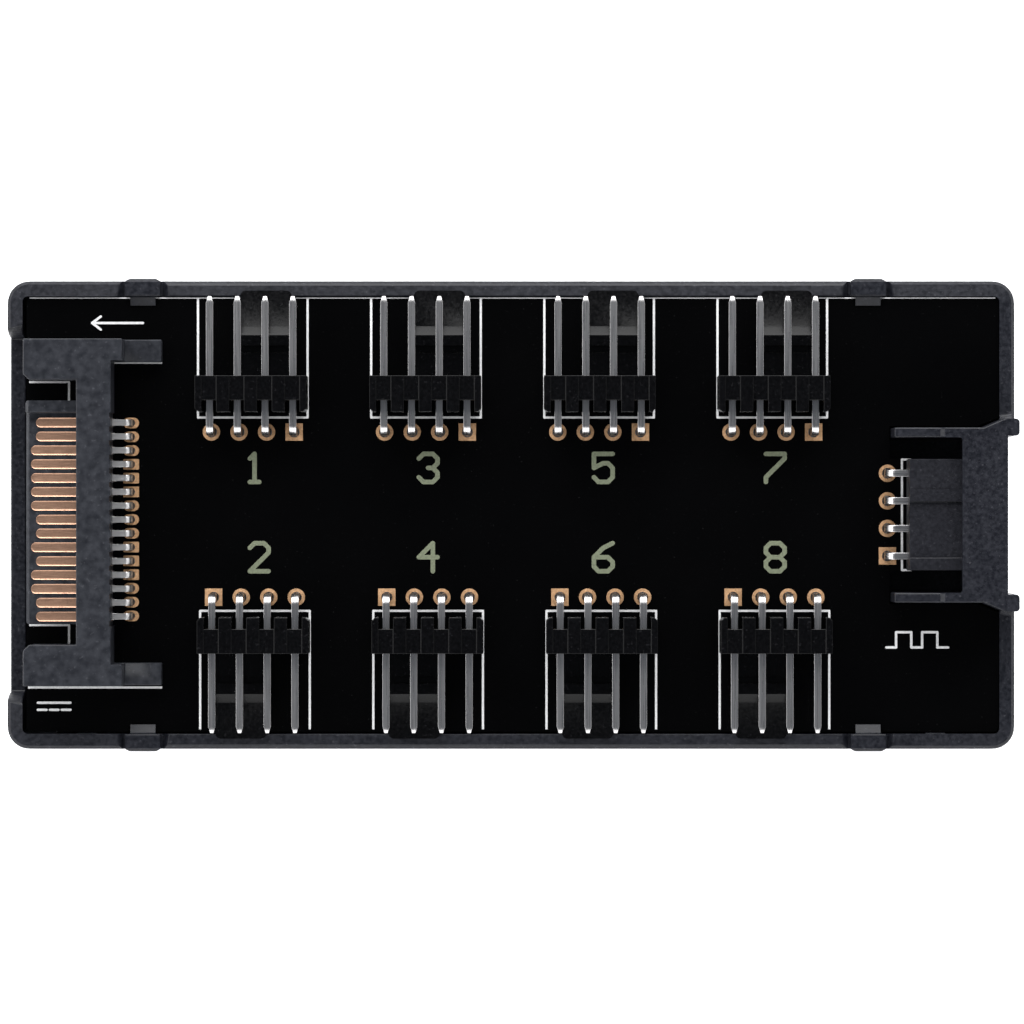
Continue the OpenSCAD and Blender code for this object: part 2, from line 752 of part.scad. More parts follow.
module solder_joints() {
    pin_r = pin_pad_d / 2 - solder_rim;
    color(solder_colour) {
        for (n = [1:channels]) at_channel(n) for (i = [1:pins])
            translate([pin_at(i), 0, 0]) solder(pin_r, [pin_w, pin_w]);
        at_control() for (i = [1:pins]) translate([0, pin_at(i), 0]) solder(pin_r, [pin_w, pin_w]);
        at_power() for (n = [1:contacts]) translate([power_l + tail_at, contact_y(n), 0])
            solder(tail_pad_w / 2 - solder_rim / 2, [blade_t, power_tail_w]);
    }
}

// Pins and contacts

// Bent square pin: a leg down through the board at the origin and an arm along +Y
module bent_pin(rise, reach) {
    leg_z = -board_t - tail_out;
    half = pin_w / 2;
    slim = (pin_w - tip_w) / 2;
    bend = pin_bend_r + pin_w;
    intersection() {
        along_x(pin_w) {
            translate([-half, leg_z]) square([pin_w, rise + half - bend - leg_z]);
            translate([-half + bend, rise + half - bend]) intersection() {
                difference() {
                    circle(bend);
                    circle(pin_bend_r);
                }
                translate([-bend, 0]) square(bend);
            }
            translate([-half + bend, rise - half]) polygon([[0, 0], [reach + half - bend - tip_l, 0],
                [reach + half - bend, slim], [reach + half - bend, pin_w - slim],
                [reach + half - bend - tip_l, pin_w], [0, pin_w]]);
        }
        translate([0, 0, leg_z - 1]) linear_extrude(rise + half - leg_z + 2)
            polygon([[-half, -half - 1], [half, -half - 1], [half, reach - tip_l], [tip_w / 2, reach],
                     [-tip_w / 2, reach], [-half, reach - tip_l]]);
    }
}

module fan_header_pins(n) {
    color(pin_colour) at_channel(n) for (i = [1:pins])
        translate([pin_at(i), 0, 0]) bent_pin(pin_rise, tip_y);
}

// Base of a fan header: crenellated block with channels round the pins and a ramped friction tab
module fan_header_base(n) {
    hole = pin_w + 2 * pin_fit;
    back = base_back;
    color(header_colour) at_channel(n) difference() {
        union() {
            linear_extrude(base_h) polygon([[-header_w / 2, base_front], [-header_w / 2, back + base_corner],
                [-header_w / 2 + base_corner, back], [header_w / 2 - base_corner, back],
                [header_w / 2, back + base_corner], [header_w / 2, base_front]]);
            translate([tab_x, base_front, 0]) tab();
        }
        for (i = [1:pins]) translate([pin_at(i), 0, 0]) {
            translate([-channel_w / 2, back - eps, -eps]) cube([channel_w, notch_d + eps, base_h + 1]);
            translate([-channel_w / 2, back - eps, base_h - channel_d]) cube([channel_w, base_d + 1, 1]);
            translate([-hole / 2, back, pin_rise - hole / 2]) cube([hole, base_d + 1, hole]);
        }
    }
}

// Friction tab: plate, groove, ridge with an upright latch face, and a long ramp to its end
module tab() {
    top = tab_z + tab_t;
    ridge_z = top + ridge_h;
    latch_at = groove_at + groove_l;
    slope_at = latch_at + ridge_l;
    ramp_at = slope_at + ridge_slope;
    intersection() {
        along_x(tab_w) polygon([[-eps, tab_z], [tab_l, tab_z], [tab_l, tab_z + tab_end_t],
                                [ramp_at, top + ramp_h], [slope_at, ridge_z], [latch_at, ridge_z],
                                [latch_at, top - groove_d], [groove_at, top - groove_d], [groove_at, top],
                                [-eps, top]]);
        linear_extrude(base_h) round_rect(tab_w, 2 * tab_l, tab_corner);
    }
}

// Control input

module control_input_pins() {
    color(pin_colour) at_control() for (i = [1:pins])
        translate([0, pin_at(i), 0]) rotate(-90) bent_pin(control_rise, mouth_x - pin_short);
}

// Shroud round the control pins: open mouth, sunk key panel and a rail beside it
module control_input_shroud() {
    hole = pin_w + 2 * pin_fit;
    length = mouth_x - shroud_back;
    key_y = pin_at(2) - panel_off;
    color(shroud_colour) at_control() difference() {
        union() {
            translate([shroud_back, -header_w / 2, 0]) cube([length, header_w, shroud_h]);
            translate([shroud_back, key_y + panel_w / 2 + rail_gap, shroud_h - eps])
                cube([length, rail_w, rail_h + eps]);
        }
        translate([shroud_back - eps, key_y - panel_w / 2, shroud_h - panel_d])
            cube([length + 1, panel_w, panel_d + 1]);
        translate([shroud_back + shroud_end_t, -header_w / 2 + shroud_t, shroud_t])
            cube([length, header_w - 2 * shroud_t, shroud_h - panel_d - 2 * shroud_t]);
        for (i = [1:pins]) translate([shroud_back - 1, pin_at(i) - hole / 2, control_rise - hole / 2])
            cube([shroud_end_t + 2, hole, hole]);
    }
}

// Power inlet

// Places the pegs under the inlet's rear feet
module at_pegs() {
    for (side = [-1, 1]) translate([power_l + peg_at, side * (power_w - foot_w) / 2, 0]) children();
}

// Plan of a contact's blade and tail, with room all round
module contact_plan(n, room) {
    tip = tongue_in + long_in + (is_in(long_contacts, n) ? 0 : short_by);
    half = blade_w / 2;
    translate([0, contact_y(n)]) {
        translate([tip + half, 0]) circle(half + room);
        translate([tip + half, -half - room]) square([power_l - tip - half, blade_w + 2 * room]);
        translate([power_l - eps, -power_tail_w / 2 - room]) square([tail_at + 1, power_tail_w + 2 * room]);
    }
}

module power_contact(n) {
    bend = blade_t + contact_bend_r;
    end_x = power_l + tail_at + blade_t / 2;
    leg_z = -board_t - tail_out;
    color(contact_colour) at_power() intersection() {
        translate([0, contact_y(n), 0]) along_y(blade_w) {
            translate([0, blade_z]) square([end_x - bend, blade_t]);
            translate([end_x - bend, blade_z + blade_t - bend]) intersection() {
                difference() {
                    circle(bend);
                    circle(bend - blade_t);
                }
                square(bend);
            }
            translate([end_x - blade_t, leg_z]) square([blade_t, blade_z + blade_t - bend - leg_z]);
        }
        translate([0, 0, leg_z - 1]) linear_extrude(power_h - leg_z) contact_plan(n, 0);
    }
}

module power_inlet_housing() {
    arm_y = power_w / 2 - guide_w;
    color(inlet_colour) at_power() difference() {
        union() {
            for (side = [0, 1]) mirror([0, side, 0]) {
                linear_extrude(power_h) polygon([[0, power_w / 2], [0, arm_y + guide_lead],
                    [guide_lead, arm_y], [guide_l, arm_y], [guide_l, -eps], [power_l, -eps],
                    [power_l, power_w / 2 - foot_w], [power_l + foot_tall_l, power_w / 2 - foot_w],
                    [power_l + foot_tall_l, power_w / 2]]);
                translate([power_l - eps, power_w / 2 - foot_w - foot_flare, 0])
                    cube([foot_l + eps, foot_w + foot_flare, foot_h]);
            }
            tongue();
            translate([0, 0, -board_t]) at_pegs() cylinder(h = board_t + foot_h / 2, r = peg_d / 2);
        }
        for (n = [1:contacts]) translate([0, 0, blade_z - blade_fit])
            linear_extrude(blade_t + 2 * blade_fit) contact_plan(n, blade_fit);
        for (n = [0:contacts]) translate([power_l - comb_d, contact_y(n + 0.5) - comb_w / 2, -eps])
            cube([1, comb_w, power_h + 1]);
    }
}

// Tongue with a chamfered front, round corners and the raised key at its odd end
module tongue() {
    c = tongue_lead;
    x = tongue_in;
    end_x = guide_l + eps;
    plan_l = 2 * guide_l;
    intersection() {
        union() {
            along_y(tongue_w) polygon([[x + c, tongue_rise], [end_x, tongue_rise], [end_x, tongue_z],
                                       [x + c, tongue_z], [x, tongue_z - c], [x, tongue_rise + c]]);
            translate([0, (tongue_w - key_w) / 2, 0]) along_y(key_w)
                polygon([[x, tongue_z - c], [end_x, tongue_z - c], [end_x, tongue_z + key_h],
                         [x + c, tongue_z + key_h], [x, tongue_z + key_h - c]]);
        }
        translate([x + plan_l / 2, 0, 0]) linear_extrude(power_h) round_rect(plan_l, tongue_w, tongue_corner);
    }
}

// Parts under the board

// Places things on the board's underside, with +Z away from the board
module under_board() {
    translate([board_x, board_y, board_z]) rotate([180, 0, 0]) children();
}

module buffer_chip() {
    color(header_colour) under_board() translate([0, 0, chip_gap + chip_h / 2])
        cube([chip_l, chip_w, chip_h], center = true);
}

module buffer_chip_legs() {
    top = chip_gap + chip_h / 2;
    knee = leg_reach / 2;
    color(nickel_colour) under_board() for (i = [-1.5:1.5], side = [0, 1])
        mirror([0, side, 0]) translate([i * leg_pitch, chip_w / 2, 0]) along_x(leg_w)
            polygon([[0, top], [knee - leg_t, top], [knee - leg_t, 0], [leg_reach, 0], [leg_reach, leg_t],
                     [knee, leg_t], [knee, top + leg_t], [0, top + leg_t]]);
}

// Chip part with its two metal ends drawn as slight steps
module chip_part(l, w, h) {
    cap = l * end_share;
    translate([0, 0, h / 2]) {
        cube([l - 2 * cap, w - 2 * end_proud, h - 2 * end_proud], center = true);
        for (side = [-1, 1]) translate([side * (l - cap) / 2, 0, 0]) cube([cap, w, h], center = true);
    }
}

module input_fuse() {
    color(shroud_colour) under_board() translate([-header_pitch, 0, 0]) rotate(90)
        chip_part(fuse_l, fuse_w, fuse_h);
}

module smoothing_capacitors() {
    color(copper_colour) under_board() for (side = [-1, 1])
        translate([header_pitch + side * (cap_w + cap_gap) / 2, 0, 0]) rotate(90)
            chip_part(cap_l, cap_w, cap_h);
}

module signal_resistors() {
    color(nickel_colour) for (n = [1:channels]) at_channel(n)
        translate([pin_at(1) - pin_pad_d / 2 - res_w, 0, -board_t])
            rotate([180, 0, 0]) rotate(90) chip_part(res_l, res_w, res_h);
}

tray();
board();
plated_holes();
solder_joints();
for (i = [1:4]) magnet(i);
for (n = [1:channels]) fan_header_base(n);
for (n = [1:channels]) fan_header_pins(n);
power_inlet_housing();
for (n = [1:contacts]) power_contact(n);
control_input_shroud();
control_input_pins();
buffer_chip();
buffer_chip_legs();
input_fuse();
smoothing_capacitors();
signal_resistors();
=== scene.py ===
# %% [markdown] # Dressing a PC fan hub The hub is a black circuit board snapped into a moulded tray. Its
# solids arrive from CAD as a fixed frame, so this script only adds what a camera wants: softened edges,
# finishes, print, light and a view. Working around fixed solids keeps every part where the real one
# seats, whatever is changed here.

# %% Load the solids
import math

import bmesh
import bpy
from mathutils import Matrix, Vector


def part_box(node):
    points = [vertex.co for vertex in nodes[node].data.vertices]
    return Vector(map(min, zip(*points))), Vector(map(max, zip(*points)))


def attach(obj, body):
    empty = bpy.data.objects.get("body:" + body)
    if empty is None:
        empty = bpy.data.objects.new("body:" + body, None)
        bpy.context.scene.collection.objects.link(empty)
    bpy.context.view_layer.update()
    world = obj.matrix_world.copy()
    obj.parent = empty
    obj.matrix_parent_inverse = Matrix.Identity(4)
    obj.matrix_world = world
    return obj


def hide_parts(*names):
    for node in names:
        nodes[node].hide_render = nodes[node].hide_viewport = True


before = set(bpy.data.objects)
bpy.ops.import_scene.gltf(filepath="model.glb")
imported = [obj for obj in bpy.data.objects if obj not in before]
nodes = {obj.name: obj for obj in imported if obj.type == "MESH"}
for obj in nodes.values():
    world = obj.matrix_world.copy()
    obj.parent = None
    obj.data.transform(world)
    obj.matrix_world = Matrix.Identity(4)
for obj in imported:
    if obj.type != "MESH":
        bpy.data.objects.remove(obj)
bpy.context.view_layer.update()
scene = bpy.context.scene
MM = 0.001

# %% [markdown]
# ## The camera
# The product was shot from straight above with a long lens, which keeps the walls from leaning outwards.
# A real camera would hang well over half a metre above the table. The same distance and focal length give
# the same slight perspective, so tall parts lean away from the middle just as much.

# %% Hang the camera over the board
CAMERA_HEIGHT = 0.6666
CAMERA_OFFSET = (0.0001, 0.00028)
FOCAL_LENGTH = 251.75
SENSOR_WIDTH = 36


def link(name, data):
    """A new object in the scene for a mesh, a light or a camera."""
    made = bpy.data.objects.new(name, data)
    scene.collection.objects.link(made)
    return made


lens = bpy.data.cameras.new("overhead_camera")
lens.lens = FOCAL_LENGTH
lens.sensor_width = SENSOR_WIDTH
camera = link("overhead_camera", lens)
camera.location = (*CAMERA_OFFSET, CAMERA_HEIGHT)
scene.camera = camera
print("camera sees", round(SENSOR_WIDTH / FOCAL_LENGTH * CAMERA_HEIGHT / MM, 1), "mm of the table")

# %% [markdown]
# ## Table and backdrop
# A studio table is a pale sheet that curves up behind the product, so no horizon shows. From above only
# its flat middle is seen. A shallow bowl does the same job from every side, and a profile of a few points
# turned round Z makes it in one piece. It lies a hair below the product, because two faces in one plane
# flicker.

# %% Turn the bowl
FLAT_RINGS = (0.2, 0.6)
FLOOR_RADIUS = 1.1
WALL_RISE = 0.7
WALL_ANGLES = range(0, 81, 8)
FLOOR_GAP = 0.05 * MM


def turned(name, profile, steps=64):
    """A mesh turned round Z from points of radius and height."""
    bm = bmesh.new()
    angles = [math.tau * i / steps for i in range(steps)]
    rings = [[bm.verts.new((r * math.cos(a), r * math.sin(a), z)) for a in angles] for r, z in profile]
    bm.faces.new(rings[0])
    for low, high in zip(rings, rings[1:]):
        for i in range(steps):
            j = (i + 1) % steps
            bm.faces.new((low[j], low[i], high[i], high[j]))
    mesh = bpy.data.meshes.new(name)
    bm.to_mesh(mesh)
    bm.free()
    mesh.shade_smooth()
    return link(name, mesh)


flat = [(r, -FLOOR_GAP) for r in FLAT_RINGS]
wall = [(FLOOR_RADIUS + WALL_RISE * math.sin(a), WALL_RISE * (1 - math.cos(a)) - FLOOR_GAP)
        for a in (math.radians(degrees) for degrees in WALL_ANGLES)]
floor = turned("studio_floor", flat + wall)
print("bowl is", round(floor.dimensions.x, 2), "m across")

# %% [markdown]
# ## Light
# The board is glossy black, and straight above it nothing may glow, or it would turn grey. So two wide soft
# boxes stand low along the far and the near side. Bends and tapers of the pins catch them, while flat
# glossy faces mirror the dark ceiling. The two ends get fainter ones, so the pins' long edges stay grey. A
# plain ring of light would have turned every edge white.

# %% Place the soft boxes
LAMP_DISTANCE = 0.8


def softbox(name, azimuth, off_vertical, watts, width, height):
    """A rectangular light aimed at the product, with its angles from +X and from the vertical in degrees."""
    data = bpy.data.lights.new(name, "AREA")
    data.shape = "RECTANGLE"
    data.size = width
    data.size_y = height
    data.energy = watts
    a, t = math.radians(azimuth), math.radians(off_vertical)
    aim = Vector((math.sin(t) * math.cos(a), math.sin(t) * math.sin(a), math.cos(t)))
    lamp = link(name, data)
    lamp.location = aim * LAMP_DISTANCE
    lamp.rotation_euler = aim.to_track_quat("Z", "Y").to_euler()
    lamp.visible_camera = False
    return lamp


softboxes = [
    softbox("far_softbox", 90, 56, watts=22, width=1.2, height=0.75),
    softbox("near_softbox", -90, 57, watts=8, width=1.2, height=0.7),
    softbox("left_fill", 180, 56, watts=6.5, width=0.8, height=0.7),
    softbox("right_fill", 0, 58, watts=1.5, width=0.8, height=0.7),
]
print("soft boxes:", len(softboxes), "watts:", sum(lamp.data.energy for lamp in softboxes))

# %% [markdown]
# ## The room
# The room beyond the lights is dim. A little bluish light from it keeps the deepest gaps from going
# fully black, as in a real studio with grey walls. The plain view transform keeps the table white.

# %% Dim the room
ROOM_TINT = (0.8, 0.88, 1, 1)
ROOM_LIGHT = 0.15

world = bpy.data.worlds.new("dim_studio")
world.use_nodes = True
room = world.node_tree.nodes["Background"]
room.inputs["Color"].default_value = ROOM_TINT
room.inputs["Strength"].default_value = ROOM_LIGHT
scene.world = world
scene.view_settings.view_transform = "Standard"
scene.view_settings.look = "None"
print("room light:", ROOM_LIGHT, "view:", scene.view_settings.view_transform)

# %% [markdown]
# ## Writing finishes as sums
# A finish is a small network of nodes, and most of it is arithmetic: a mask times a colour, one minus a
# mask. Adding nodes by hand hides that. Here a socket is wrapped in a class with overloaded operators, so a
# sum written in Python adds its own Math nodes.

# %% A socket that can be added and multiplied
class Wire:
    """An output socket of a finish's node tree, for use in sums."""

    def __init__(self, finish, socket):
        self.finish = finish
        self.socket = socket

    def maths(self, operation, first, second):
        """Adds the Math node of one operator."""
        return self.finish.node("ShaderNodeMath", {"operation": operation}, {0: first, 1: second})

    def __add__(self, other):
        return self.maths("ADD", self, other)

    def __sub__(self, other):
        return self.maths("SUBTRACT", self, other)

    def __rsub__(self, other):
        return self.maths("SUBTRACT", other, self)

    def __mul__(self, other):
        return self.maths("MULTIPLY", self, other)

    def __gt__(self, other):
        return self.maths("GREATER_THAN", self, other)

    __radd__ = __add__
    __rmul__ = __mul__


print("a wire knows: + - * >")

# %% [markdown]
# ## A finish and its nodes
# Every other node comes from one method, which takes the node's type, its settings and what its sockets
# get. A few short methods on top of it name what plastics and metals need: noise of a real size, a colour
# between two colours, and relief of a real depth. What is the same all over is set on the shader itself.

# %% A finish and its nodes
class Finish:
    """A material with a Principled shader. Its constants are set on the shader's own sockets."""

    def __init__(self, name, **constants):
        self.material = bpy.data.materials.new(name)
        self.material.use_nodes = True
        self.tree = self.material.node_tree
        self.shader = self.tree.nodes["Principled BSDF"]
        for socket, value in constants.items():
            self.shader.inputs[socket.replace("_", " ")].default_value = value
        self.place = self.node("ShaderNodeTexCoord", {}, {}, "Object")

    def node(self, kind, settings, inputs, output=0):
        """Adds a node: its settings first, then the values or wires of its sockets."""
        made = self.tree.nodes.new(kind)
        for setting, value in settings.items():
            setattr(made, setting, value)
        for socket, value in inputs.items():
            if isinstance(value, Wire):
                self.tree.links.new(value.socket, made.inputs[socket])
            else:
                made.inputs[socket].default_value = value
        return Wire(self, made.outputs[output])

    def noise(self, size_mm, detail, stretch=(1, 1, 1)):
        """Noise whose blobs are about size_mm across, drawn out along an axis by stretch."""
        spread = self.node("ShaderNodeVectorMath", {"operation": "DIVIDE"}, {0: self.place, 1: stretch})
        return self.node("ShaderNodeTexNoise", {},
                         {"Vector": spread, "Scale": 1 / (size_mm * MM), "Detail": detail})

    def mask(self, wire, low, high):
        """Stretches the part of a wire between low and high over 0 to 1, which makes a mask of it."""
        return self.node("ShaderNodeMapRange", {}, {"Value": wire, "From Min": low, "From Max": high})

    def mix(self, factor, first, second):
        """A colour between two colours. A Mix node has them at sockets 6 and 7, and its result at 2."""
        first, second = ((*tone, 1) if isinstance(tone, tuple) else tone for tone in (first, second))
        return self.node("ShaderNodeMix", {"data_type": "RGBA"}, {0: factor, 6: first, 7: second}, 2)

    def feed(self, **wires):
        """Joins wires to the shader's sockets."""
        for socket, wire in wires.items():
            self.tree.links.new(wire.socket, self.shader.inputs[socket.replace("_", " ")])

    def relief(self, height, depth_mm):
        """Bump of the given depth."""
        self.feed(Normal=self.node("ShaderNodeBump", {}, {"Height": height, "Distance": depth_mm * MM}))


print("a finish offers:", [name for name in vars(Finish) if not name.startswith("_")])

# %% [markdown]
# ## Tray plastic
# The tray is one black moulding with a fine spark-eroded grain, slightly bluish in this light. The grain is
# a bump far smaller than a millimetre. A mould also leaves faint cloudy differences in gloss, so a slow
# noise moves the roughness. Tiny pale specks in the colour are partly dust and partly painted glints.

# %% Tray plastic
CLOUD_MM = 5
CLOUD_SHARE = 0.3
CLOUD_DULLING = 0.08
MOTTLE_SIZE = 2.2
MOTTLE_DULLING = 0.1
MOTTLE_HEIGHT = 0.5
# size and tone of the pale specks, which are partly dust and partly painted glints
DUST_AND_GLINT_MM = 0.3
DUST_AND_GLINT_TONE = (0.2, 0.2, 0.22)


def moulded(name, dark, light, gloss, grain_mm=0.16, depth_mm=0.004, dust_and_glint=0.0, level=0.2):
    """Moulded plastic: mottled colour, uneven gloss, fine grain and a few pale specks, partly dust and partly
    painted glints.
    """
    finish = Finish(name, Specular_IOR_Level=level)
    clouds = finish.noise(CLOUD_MM, detail=3)
    grain = finish.noise(grain_mm, detail=2)
    mottle = finish.mask(finish.noise(grain_mm * MOTTLE_SIZE, detail=3), low=0.32, high=0.68)
    # pale specks in the base colour: partly dust, partly painted glints
    dust_and_glint_specks = finish.mask(finish.noise(DUST_AND_GLINT_MM, detail=1), low=0.66, high=0.76)
    body = finish.mix(clouds * CLOUD_SHARE + mottle * (1 - CLOUD_SHARE), dark, light)
    finish.feed(Base_Color=finish.mix(dust_and_glint_specks * dust_and_glint, body, DUST_AND_GLINT_TONE),
                Roughness=gloss + clouds * CLOUD_DULLING + mottle * MOTTLE_DULLING)
    finish.relief(grain + mottle * MOTTLE_HEIGHT, depth_mm)
    return finish.material


case_plastic = moulded("case_plastic", dark=(0.0025, 0.0029, 0.0046), light=(0.0135, 0.0143, 0.0185),
                       gloss=0.26, depth_mm=0.006, dust_and_glint=0.08, level=0.165)
print(case_plastic.name, len(case_plastic.node_tree.nodes), "nodes")

# %% [markdown]
# ## Other plastics
# The fan headers are a glass-filled nylon that is almost black, the power inlet is a greyer and duller
# one with a mottled face, and the control shroud lies between them. The same recipe with other numbers
# gives all three, because they differ in tone, gloss and grain only.

# %% Header, inlet and shroud plastics
header_plastic = moulded("header_plastic", dark=(0.0006, 0.0006, 0.0007), light=(0.0018, 0.0018, 0.0022),
                         gloss=0.11, grain_mm=0.12, depth_mm=0.002, dust_and_glint=0.02, level=0.13)
inlet_plastic = moulded("inlet_plastic", dark=(0.0065, 0.0073, 0.0095), light=(0.0205, 0.022, 0.0265),
                        gloss=0.31, grain_mm=0.3, depth_mm=0.005, dust_and_glint=0.07, level=0.12)
shroud_plastic = moulded("shroud_plastic", dark=(0.005, 0.0052, 0.0068), light=(0.01, 0.0104, 0.0135),
                         gloss=0.3, grain_mm=0.14, dust_and_glint=0.05, level=0.13)
print("plastics:", header_plastic.name, inlet_plastic.name, shroud_plastic.name)

# %% [markdown]
# ## Solder mask
# A board's black mask is a glossy lacquer over copper. It is almost a mirror, but the lacquer sags a
# little over the weave of the glass cloth below it. Two crossed waves, each about a millimetre long, give
# the weave, and a slow noise keeps reflections from being perfect. At scale 1 the wave node lays 20 / tau
# waves along one unit, which is a metre here.

# %% Solder mask
WEAVE_SCALE = 260.0
WAVES_AT_SCALE_1 = 20 / math.tau
WEAVE_WOBBLE = 0.6
WEAVE_HEIGHT = 0.3
SAG_MM = 9
SAG_DULLING = 0.1
DUST_MM = 0.22
DUST_SHARE = 0.03
DUST_TONE = (0.1, 0.1, 0.1)
DUST_DULLING = 0.3


def solder_mask(name, dark, light, gloss, depth_mm):
    """Glossy black lacquer with the weave of the board showing through as a faint relief."""
    finish = Finish(name, Specular_IOR_Level=0.05)
    across, along = (finish.node("ShaderNodeTexWave", {"bands_direction": axis, "wave_profile": "SIN"},
                                 {"Vector": finish.place, "Scale": WEAVE_SCALE, "Distortion": WEAVE_WOBBLE},
                                 "Fac") for axis in "XY")
    sag = finish.noise(SAG_MM, detail=3)
    dust = finish.mask(finish.noise(DUST_MM, detail=1), low=0.72, high=0.8)
    body = finish.mix(sag, dark, light)
    finish.feed(Base_Color=finish.mix(dust * DUST_SHARE, body, DUST_TONE),
                Roughness=gloss + sag * SAG_DULLING + dust * DUST_DULLING)
    finish.relief((across + along) * WEAVE_HEIGHT + sag, depth_mm)
    return finish.material


board_mask = solder_mask("board_mask", dark=(0.0005, 0.0005, 0.0006), light=(0.001, 0.001, 0.0011),
                         gloss=0.12, depth_mm=0.002)
print(board_mask.name, "weave in mm:", round(1 / (WAVES_AT_SCALE_1 * WEAVE_SCALE) / MM, 2))

# %% [markdown]
# ## Metals
# Header pins are drawn brass wire with a tin plating, so they carry fine lines along their length. The
# inlet's contacts are stamped from a copper alloy that still looks rosy, and their tails behind the housing
# are tinned. The pads are bare copper with a brownish tarnish. Each gets its own direction and size of
# scratches. Stretching one noise along an axis draws the lines, and the same noise in the roughness makes
# the streaky glints.

# %% Pins, contacts, pads and solder
PIN_TONES = {"dark": (0.42, 0.41, 0.41), "light": (0.5, 0.49, 0.49)}
CONTACT_TONES = {"dark": (0.37, 0.21, 0.14), "light": (0.56, 0.345, 0.24)}
PAD_TONES = {"dark": (0.38, 0.21, 0.1), "light": (0.8, 0.51, 0.3)}
SOLDER_TONES = {"dark": (0.55, 0.56, 0.57), "light": (0.75, 0.76, 0.78)}
NICKEL_TONES = {"dark": (0.6, 0.59, 0.56), "light": (0.78, 0.77, 0.74)}
TIN_TONES = (0.5, 0.49, 0.48), (0.78, 0.77, 0.76)
TARNISH_TONE = (0.05, 0.03, 0.02)
TARNISH_MM = 0.25
TARNISH_DULLING = 0.3
METAL_CLOUD_MM = 1.1
LINE_SHARE = 0.5
LINE_DULLING = 0.12
HOUSING_DEPTH = 7.9 * MM


def metal(name, dark, light, gloss, line_mm, stretch, depth_mm=0.002, spots=0.0, tinned_from=None):
    """Bare or plated metal with drawn lines, uneven gloss and tarnish spots, tinned beyond an X in metres."""
    finish = Finish(name, Metallic=1.0)
    lines = finish.noise(line_mm, detail=1, stretch=stretch)
    clouds = finish.noise(METAL_CLOUD_MM, detail=2)
    tarnish = finish.mask(finish.noise(TARNISH_MM, detail=3), low=0.52, high=0.7)
    streaks = lines * LINE_SHARE + clouds * (1 - LINE_SHARE)
    body = finish.mix(tarnish * spots, finish.mix(streaks, dark, light), TARNISH_TONE)
    if tinned_from is not None:
        x = finish.node("ShaderNodeSeparateXYZ", {}, {0: finish.place})
        body = finish.mix(x > tinned_from, body, finish.mix(streaks, *TIN_TONES))
    finish.feed(Base_Color=body, Roughness=gloss + lines * LINE_DULLING + tarnish * (spots * TARNISH_DULLING))
    finish.relief(lines, depth_mm)
    return finish.material


housing_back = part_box("power_inlet_housing")[0].x + HOUSING_DEPTH
pin_metal = metal("pin_metal", **PIN_TONES, gloss=0.22, line_mm=0.12, stretch=(1, 40, 12), depth_mm=0.0001)
side_pin_metal = metal("side_pin_metal", **PIN_TONES, gloss=0.22, line_mm=0.12, stretch=(40, 1, 12),
                       depth_mm=0.0001)
contact_metal = metal("contact_metal", **CONTACT_TONES, gloss=0.3, line_mm=0.1, stretch=(10, 1, 4),
                      spots=0.25, tinned_from=housing_back)
pad_copper = metal("pad_copper", **PAD_TONES, gloss=0.42, line_mm=0.2, stretch=(1, 1, 1), spots=0.35)
solder_metal = metal("solder", **SOLDER_TONES, gloss=0.22, line_mm=0.4, stretch=(1, 1, 1), depth_mm=0.006)
magnet_nickel = metal("magnet_nickel", **NICKEL_TONES, gloss=0.16, line_mm=0.2, stretch=(8, 1, 1),
                      depth_mm=0.001, spots=0.1)
print("metals:", pin_metal.name, contact_metal.name, pad_copper.name, solder_metal.name, magnet_nickel.name)

# %% [markdown]
# ## Small parts under the board
# Chips, fuse, capacitors and resistors sit on the underside of the board, where the tray hides nearly all
# of them. They get the same recipes: matt black for the chip, dark green for the fuse, tan for the
# capacitors, dark grey for the resistors, and tin for the legs.

# %% Chip parts
chip_plastic = moulded("chip_plastic", dark=(0.008, 0.008, 0.009), light=(0.016, 0.016, 0.017),
                       gloss=0.45, grain_mm=0.08)
fuse_plastic = moulded("fuse_plastic", dark=(0.02, 0.05, 0.03), light=(0.03, 0.07, 0.045),
                       gloss=0.4, grain_mm=0.1)
capacitor_ceramic = moulded("capacitor_ceramic", dark=(0.25, 0.17, 0.1), light=(0.34, 0.24, 0.15),
                            gloss=0.35, grain_mm=0.08)
resistor_ceramic = moulded("resistor_ceramic", dark=(0.02, 0.02, 0.022), light=(0.035, 0.035, 0.04),
                           gloss=0.35, grain_mm=0.08)
chip_legs = metal("chip_legs", dark=(0.55, 0.55, 0.56), light=(0.72, 0.72, 0.73), gloss=0.24,
                  line_mm=0.08, stretch=(1, 8, 1))
print("small parts:", chip_plastic.name, capacitor_ceramic.name, resistor_ceramic.name, fuse_plastic.name)

# %% [markdown]
# ## Softened edges
# No moulded edge is a knife edge, and the thin light line along it is what makes plastic look real. CAD
# leaves these edges sharp. A copy of a solid is merged into clean faces, its sharp edges get a narrow
# round, and the copy then stands for the solid. An edge next to something very small is left alone,
# because a round that is wider than its neighbour would tear the surface. Where two rounds just meet, a
# face without any area can be left between them, so such slivers are dissolved.

# %% The edge softener
SHARP = math.radians(28)
FLAT = math.radians(0.5)
WELD = 2e-6
SLIVER = 1e-6
ROOM = 2.2


def clean_copy(node):
    """The solid's mesh as merged flat faces, ready for editing."""
    bm = bmesh.new()
    bm.from_mesh(nodes[node].data)
    bmesh.ops.remove_doubles(bm, verts=bm.verts, dist=WELD)
    bmesh.ops.dissolve_limit(bm, angle_limit=FLAT, verts=bm.verts, edges=bm.edges)
    return bm


def roomy(edge, room):
    """Whether an edge and all that meets it is long enough for a round."""
    return all(e.calc_length() > room for v in edge.verts for e in v.link_edges)


